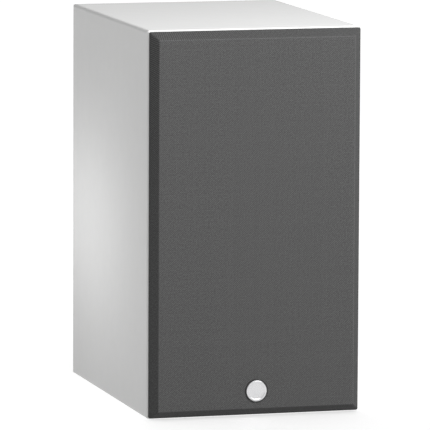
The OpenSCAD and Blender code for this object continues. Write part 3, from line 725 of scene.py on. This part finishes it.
def make_grille_cloth():
    """One sheet of cloth over the frame's face, round its bevels and sides, and folded behind it. Its flat
    pattern is kept as the mesh's cut map, and over the frame's window it sags a little."""
    low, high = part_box("grille_cloth")
    middle = (low.z + high.z) / 2
    half_w, half_h = (high.x - low.x) / 2, (high.z - low.z) / 2
    bevel_w, bevel_d, crease = 6 * MM, 7 * MM, 0.55 * MM
    window_w, window_h, sag = 68 * MM, 125 * MM, 0.35 * MM
    corner, taper = 1.3 * MM, 0.13

    section = cloth_section(bevel_w, bevel_d, crease, high.y - low.y)
    face = [(bevel_w + crease + d * MM, 0.0) for d in (66, 50, 38, 28, 20, 14, 9, 5, 2)]
    flat_w, flat_h = half_w - bevel_w - crease, half_h - bevel_w - crease

    # run is how far a ring of points is from the face's edge, along the cloth, and is negative on the face
    run = -sum(math.dist(a, b) for a, b in zip(face, face[1:] + section[:1]))
    previous = face[0]
    vertices, cut = [], []
    for inset, back in face + section:
        run += math.dist(previous, (inset, back))
        previous = (inset, back)
        radius = corner - taper * min(inset, bevel_w)
        outline = ring(half_w - inset, half_h - inset, radius)
        cut += ring(flat_w + run, flat_h + run, radius + max(run, 0))
        for x, z in outline:
            inside = 0.0
            if back == 0:
                inside = max(0.0, 1 - (x / window_w) ** 2) * max(0.0, 1 - (z / window_h) ** 2)
            vertices.append((x, low.y + back + sag * inside, middle + z))
    count = len(outline)
    faces = [tuple(range(count))]
    for first in range(0, len(vertices) - count, count):
        for k in range(count):
            m = (k + 1) % count
            faces.append((first + k, first + m, first + count + m, first + count + k))
    mesh = mesh_of("grille_cloth_sheet", vertices, faces)
    layer = mesh.uv_layers.new(name="cut")
    for loop in mesh.loops:
        layer.data[loop.index].uv = cut[loop.vertex_index]

    weave = grille_cloth_material(flat_w, flat_h, 2 * crease)
    cloth = add_piece("grille_cloth_sheet", mesh, "grille", weave, "grille_cloth", sharp=180)
    thickness = cloth.modifiers.new("thickness", "SOLIDIFY")
    thickness.thickness = 0.4 * MM
    thickness.offset = -1


def make_staples():
    """Wire staples that hold the cloth's margin to the back of the frame."""
    low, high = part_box("grille_cloth")
    middle = (low.z + high.z) / 2
    margin, pitch, length, wire = 5.5 * MM, 46, 9 * MM, 0.6 * MM
    half_w, half_h = (high.x - low.x) / 2 - margin, (high.z - low.z) / 2 - margin
    upright, level = math.pi / 2, 0
    spots = [(side * half_w, z * MM, upright) for side in (-1, 1) for z in range(-115, 116, pitch)]
    spots += [(x * MM, side * half_h, level) for side in (-1, 1) for x in (-pitch, 0, pitch)]
    places = []
    for x, z, turn in spots:
        tilt = math.radians(random.uniform(-4, 4)) + turn
        where = Matrix.Translation((x, high.y, middle + z)) @ Matrix.Rotation(tilt, 4, "Y")
        places.append(where @ Matrix.Diagonal((length, wire, wire * 1.6, 1)))
    add_bars("grille_staples", places, 0.2 * MM, "grille", plated_metal("staple_wire", (0.6, 0.6, 0.6), 0.35))


def make_badge():
    """A plain round badge: a gloss black ring round a turned aluminium disc that is slightly dished."""
    low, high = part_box("badge_bezel")
    place = on_baffle("badge_bezel")
    r, proud = (high.x - low.x) / 2 / MM, (baffle_face - low.y) / MM
    lip, recess, back = 0.9, 1.0, 1.7
    bezel = [(r, proud - back), (r, proud, 0.3), (r - lip, proud, 0.25), (r - lip, proud - recess)]
    bezel += [(r - lip - 0.3, proud - back)]
    gloss = moulded("badge_gloss", (0.012, 0.012, 0.012), 0.18, depth=0.001 * MM)
    add_turned("badge_ring", rounded(bezel), place, "grille", gloss, "badge_bezel")

    r -= lip + 0.05
    top = (baffle_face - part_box("badge_face")[0].y) / MM
    thickness, land, step, dish = 1.1, 1.4, 0.25, 0.12
    disc = [(0, top - thickness), (r, top - thickness), (r, top, 0.35), (r - land, top, 0.3)]
    disc += [(r - land - 0.3, top - step, 0.3)]
    disc += [(r * k, top - step - dish * (1 - k * k)) for k in (0.7, 0.5, 0.3, 0.15, 0)]
    metal = turned_metal("badge_metal", (0.72, 0.72, 0.73), "badge_face", 0.32)
    add_turned("badge_disc", rounded(disc), place, "grille", metal, "badge_face")


def make_grille():
    black = board("stained_fibreboard", (0.022, 0.022, 0.022), 0.8)
    soften("grille_frame", 0.4 * MM, black)
    make_grille_cloth()
    make_staples()
    make_badge()
    soften("grille_pegs", 0.25 * MM, moulded("peg_plastic", (0.02, 0.02, 0.02), 0.4))
    soften("grille_sockets", 0.15 * MM, rubber("socket_rubber"))


# ---- Woofer ----


def cone_height(r):
    """The cone's front face at a radius, in millimetres out of the baffle: steep at the neck and shallow at
    the rim."""
    return SURROUND_BASE - CONE_DEPTH * max(0.0, (CONE_RIM - r) / (CONE_RIM - CONE_NECK)) ** 1.15


def rib_height(r):
    """Two low ribs round the cone."""
    tall, wide = 0.18, 0.7
    return sum(tall * math.exp(-(((r - crest) / wide) ** 2)) for crest in (37, 28.5))


def cap_sides(radius, rise, base, wall, steps):
    """A shallow spherical cap: its upper side from the axis to the rim, and its under side back again."""
    ball = (radius * radius + rise * rise) / (2 * rise)
    centre = base + rise - ball
    angles = [math.asin(radius / ball) * k / steps for k in range(steps + 1)]
    upper = [(ball * math.sin(angle), centre + ball * math.cos(angle)) for angle in angles]
    under = [(r, h - wall) for r, h in reversed(upper[:-1])]
    return upper, under


def half_circle(middle, radius, base):
    angles = [math.pi * k / 20 for k in range(21)]
    return [(middle - radius * math.cos(angle), base + radius * math.sin(angle)) for angle in angles]


def roll_profile(middle, radius, inner, outer, base, thickness):
    """A half-roll between two flat lands, as one closed profile, with a small fillet where its upper side
    meets each land. The lands lie from base up by the thickness."""
    land = base + thickness
    fillet = land + 0.12
    crown = [point for point in half_circle(middle, radius, base) if point[1] > base + thickness * 1.5]
    first, last = crown[0][0], crown[-1][0]
    start, end = max(inner + 0.4, first - 0.9), min(outer - 0.4, last + 0.9)
    upper = [(inner, land), (start, land), ((start + first) / 2 + 0.1, fillet)] + crown
    upper += [((end + last) / 2 - 0.1, fillet), (end, land), (outer, land)]
    under = half_circle(middle, radius - thickness, base)
    return upper + [(outer, base)] + under[::-1] + [(inner, base)]


def make_woofer():
    place = on_baffle("woofer_yoke")
    coat = moulded("basket_coat", (0.022, 0.022, 0.022), 0.5, 0.35 * MM, 0.03 * MM)
    soften("woofer_basket", 0.4 * MM, coat)
    paint(foam("gasket_foam", (0.03, 0.03, 0.03), 0.5 * MM), "woofer_gasket", "tweeter_gasket")
    soften("woofer_screws", 0.15 * MM, plated_metal("black_oxide", (0.07, 0.07, 0.075), 0.4))

    lip, paper = 47.3, 0.8
    radii = [CONE_RIM - (CONE_RIM - CONE_NECK) * k / 30 for k in range(31)]
    front = [(lip, SURROUND_BASE)] + [(r, cone_height(r) + rib_height(r)) for r in radii]
    back = [(r, cone_height(r) - paper) for r in reversed(radii)] + [(lip, SURROUND_BASE - paper)]
    add_turned("woofer_cone_pulp", front + back, place, "woofer_moving", pulp(), "woofer_cone", 128)

    cap_radius = 17.5
    base = cone_height(cap_radius) + 0.5
    upper, under = cap_sides(cap_radius, rise=6.0, base=base, wall=0.6, steps=14)
    cap = upper + [(cap_radius + 0.4, base - 0.25), (cap_radius - 0.2, base - 0.45)] + under
    cloth = fine_cloth("cap_cloth", 0.5 * MM, (0.01, 0.01, 0.01), (0.035, 0.035, 0.036), 0.6)
    add_turned("woofer_cap_cloth", cap, place, "woofer_moving", cloth, "woofer_dust_cap")

    roll = roll_profile(51.1, 4, inner=44.6, outer=57.75, base=SURROUND_BASE, thickness=0.75)
    surround = add_turned("woofer_roll", roll, place, None, rubber(), "woofer_surround", 128)
    blend_radially(surround)

    dipped = fine_cloth("dipped_cotton", 0.9 * MM, (0.22, 0.14, 0.03), (0.5, 0.36, 0.12))
    spider = add_copy("woofer_spider_cloth", dipped, "woofer_spider")
    blend_radially(spider)

    leads = add_copy("woofer_tinsel", plated_metal("tinsel", (0.75, 0.5, 0.32), 0.35), "woofer_tinsel_leads")
    at_terminals, at_cone = place(0, -48 * MM, -33 * MM), place(0, -31 * MM, -13 * MM)
    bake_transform(leads)

    zinc = plated_metal("zinc_plate", (0.62, 0.62, 0.63), 0.35)
    copper = windings("voice_coil_wire", (0.72, 0.36, 0.2), 1, 0.35 * MM)
    paint(mottled("former_film", (0.5, 0.28, 0.06), 0.3, 4 * MM), "woofer_coil_former")
    paint(copper, "woofer_voice_coil", "tweeter_voice_coil")
    paint(zinc, "woofer_top_plate", "woofer_yoke", "tweeter_top_plate", "tweeter_yoke", "board_screws")
    paint(ferrite(), "woofer_magnet", "tweeter_magnet")
    paint(mottled("phenolic_board", (0.2, 0.1, 0.045), 0.5, 2 * MM), "woofer_terminals")


# ---- Tweeter ----


def make_tweeter():
    place = on_baffle("tweeter_yoke")
    plate = moulded("faceplate_plastic", (0.02, 0.02, 0.02), 0.45, 0.4 * MM, 0.025 * MM)
    soften("tweeter_faceplate", 0.35 * MM, plate)
    soften("tweeter_screws", 0.15 * MM, plated_metal("black_oxide_small", (0.07, 0.07, 0.075), 0.4))

    base = -9.3
    silk = fine_cloth("coated_silk", 0.3 * MM, (0.008, 0.008, 0.009), (0.03, 0.03, 0.032), 0.45)
    upper, under = cap_sides(12.6, rise=4.6, base=base, wall=0.35, steps=16)
    dome = upper + [(12.3, base - 0.15)] + under
    add_turned("tweeter_dome_silk", dome, place, "tweeter_moving", silk, "tweeter_dome")
    roll = roll_profile(14.1, 1.2, inner=12.62, outer=17.1, base=base, thickness=0.28)
    surround = add_turned("tweeter_roll", roll, place, None, silk, "tweeter_surround")
    blend_radially(surround)
    plain = moulded("moulded_black", (0.025, 0.025, 0.025), 0.5)
    paint(plain, "tweeter_mounting_ring", "tweeter_rear_chamber")


# ---- Port and terminals ----


def make_port():
    """A flared tube with a satin mouth, set flush in the back panel."""
    low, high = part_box("port_tube")
    length = (high.y - low.y) / MM
    bore, wall, flange, collar, flare = 20.0, 2.0, 30.0, 24.2, 6.0
    edge, plate, sleeve = 0.5, 2.5, 9
    quarter = [math.pi / 2 * k / 12 for k in range(13)]
    mouth = [(bore + flare - flare * math.cos(angle), -flare + flare * math.sin(angle)) for angle in quarter]
    rim = [(flange - edge, 0), (flange, -edge), (flange, -plate), (collar, -plate), (collar, -sleeve)]
    tube = [(bore + wall, -sleeve), (bore + wall, -length), (bore + edge, -length), (bore, -length + edge)]
    plastic = moulded("port_plastic", (0.02, 0.02, 0.02), 0.42, 0.45 * MM, 0.02 * MM)
    place = on_back("port_tube")
    add_turned("port_tube_flared", mouth + rim + tube, place, "cabinet", plastic, "port_tube", 128)


def make_terminals():
    cup = moulded("cup_plastic", (0.022, 0.022, 0.022), 0.5, 0.5 * MM, 0.03 * MM)
    soften("terminal_cup", 0.4 * MM, cup)
    soften("terminal_screws", 0.15 * MM, plated_metal("black_oxide_back", (0.07, 0.07, 0.075), 0.4))
    gold = plated_metal("gold_plate", (0.9, 0.66, 0.28), 0.2)
    red = moulded("red_plastic", (0.42, 0.012, 0.012), 0.25, depth=0.004 * MM)
    black = moulded("black_plastic", (0.015, 0.015, 0.015), 0.25, depth=0.004 * MM)
    for colour, plastic in (("red", red), ("black", black)):
        soften("post_collar_" + colour, 0.25 * MM, plastic)
        soften("post_stud_" + colour, 0.15 * MM, gold)
        soften("post_clamp_" + colour, 0.15 * MM, gold)
        soften("post_knob_" + colour, 0.15 * MM, plastic, crowded=True)
    paint(gold, "post_nuts", "solder_lugs")
    make_polarity_marks(cup)


def make_polarity_marks(plastic):
    """A raised plus over the red post and a raised minus over the black one, moulded in the cup's floor."""
    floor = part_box("post_collar_red")[0].y
    length, width, thickness, above = 5 * MM, 1.2 * MM, 0.7 * MM, 7 * MM
    level, upright = (length, thickness, width, 1), (width, thickness, length, 1)
    places = []
    for node, bars in (("post_collar_red", (level, upright)), ("post_collar_black", (level,))):
        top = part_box(node)[1].z
        where = Matrix.Translation((axis_of(node)[0], floor + 0.1 * MM, top + above))
        places += [where @ Matrix.Diagonal(bar) for bar in bars]
    add_bars("cup_polarity_marks", places, 0.2 * MM, "cabinet", plastic)


# ---- Crossover and wiring ----


def make_crossover():
    paint(mottled("board_laminate", (0.02, 0.13, 0.05), 0.4, 12 * MM, 0.3), "crossover_board")
    paint(windings("coil_wire", (0.7, 0.32, 0.16), 2, 1.1 * MM), "woofer_inductor")
    paint(windings("small_coil_wire", (0.7, 0.32, 0.16), 1, 0.8 * MM), "tweeter_inductor")
    paint(mottled("capacitor_film", (0.62, 0.42, 0.05), 0.25, 10 * MM, 0.1), "crossover_capacitors")
    paint(mottled("cement", (0.72, 0.7, 0.66), 0.85, 1.5 * MM, 0.12, 0.08 * MM), "crossover_resistors")
    paint(mottled("red_insulation", (0.42, 0.015, 0.015), 0.4, 10 * MM, 0.1), "wiring_red")
    paint(mottled("black_insulation", (0.02, 0.02, 0.02), 0.4, 10 * MM, 0.2), "wiring_black")


add_camera()
add_lights(add_floor())
make_cabinet()
make_grille()
make_woofer()
make_tweeter()
make_port()
make_terminals()
make_crossover()
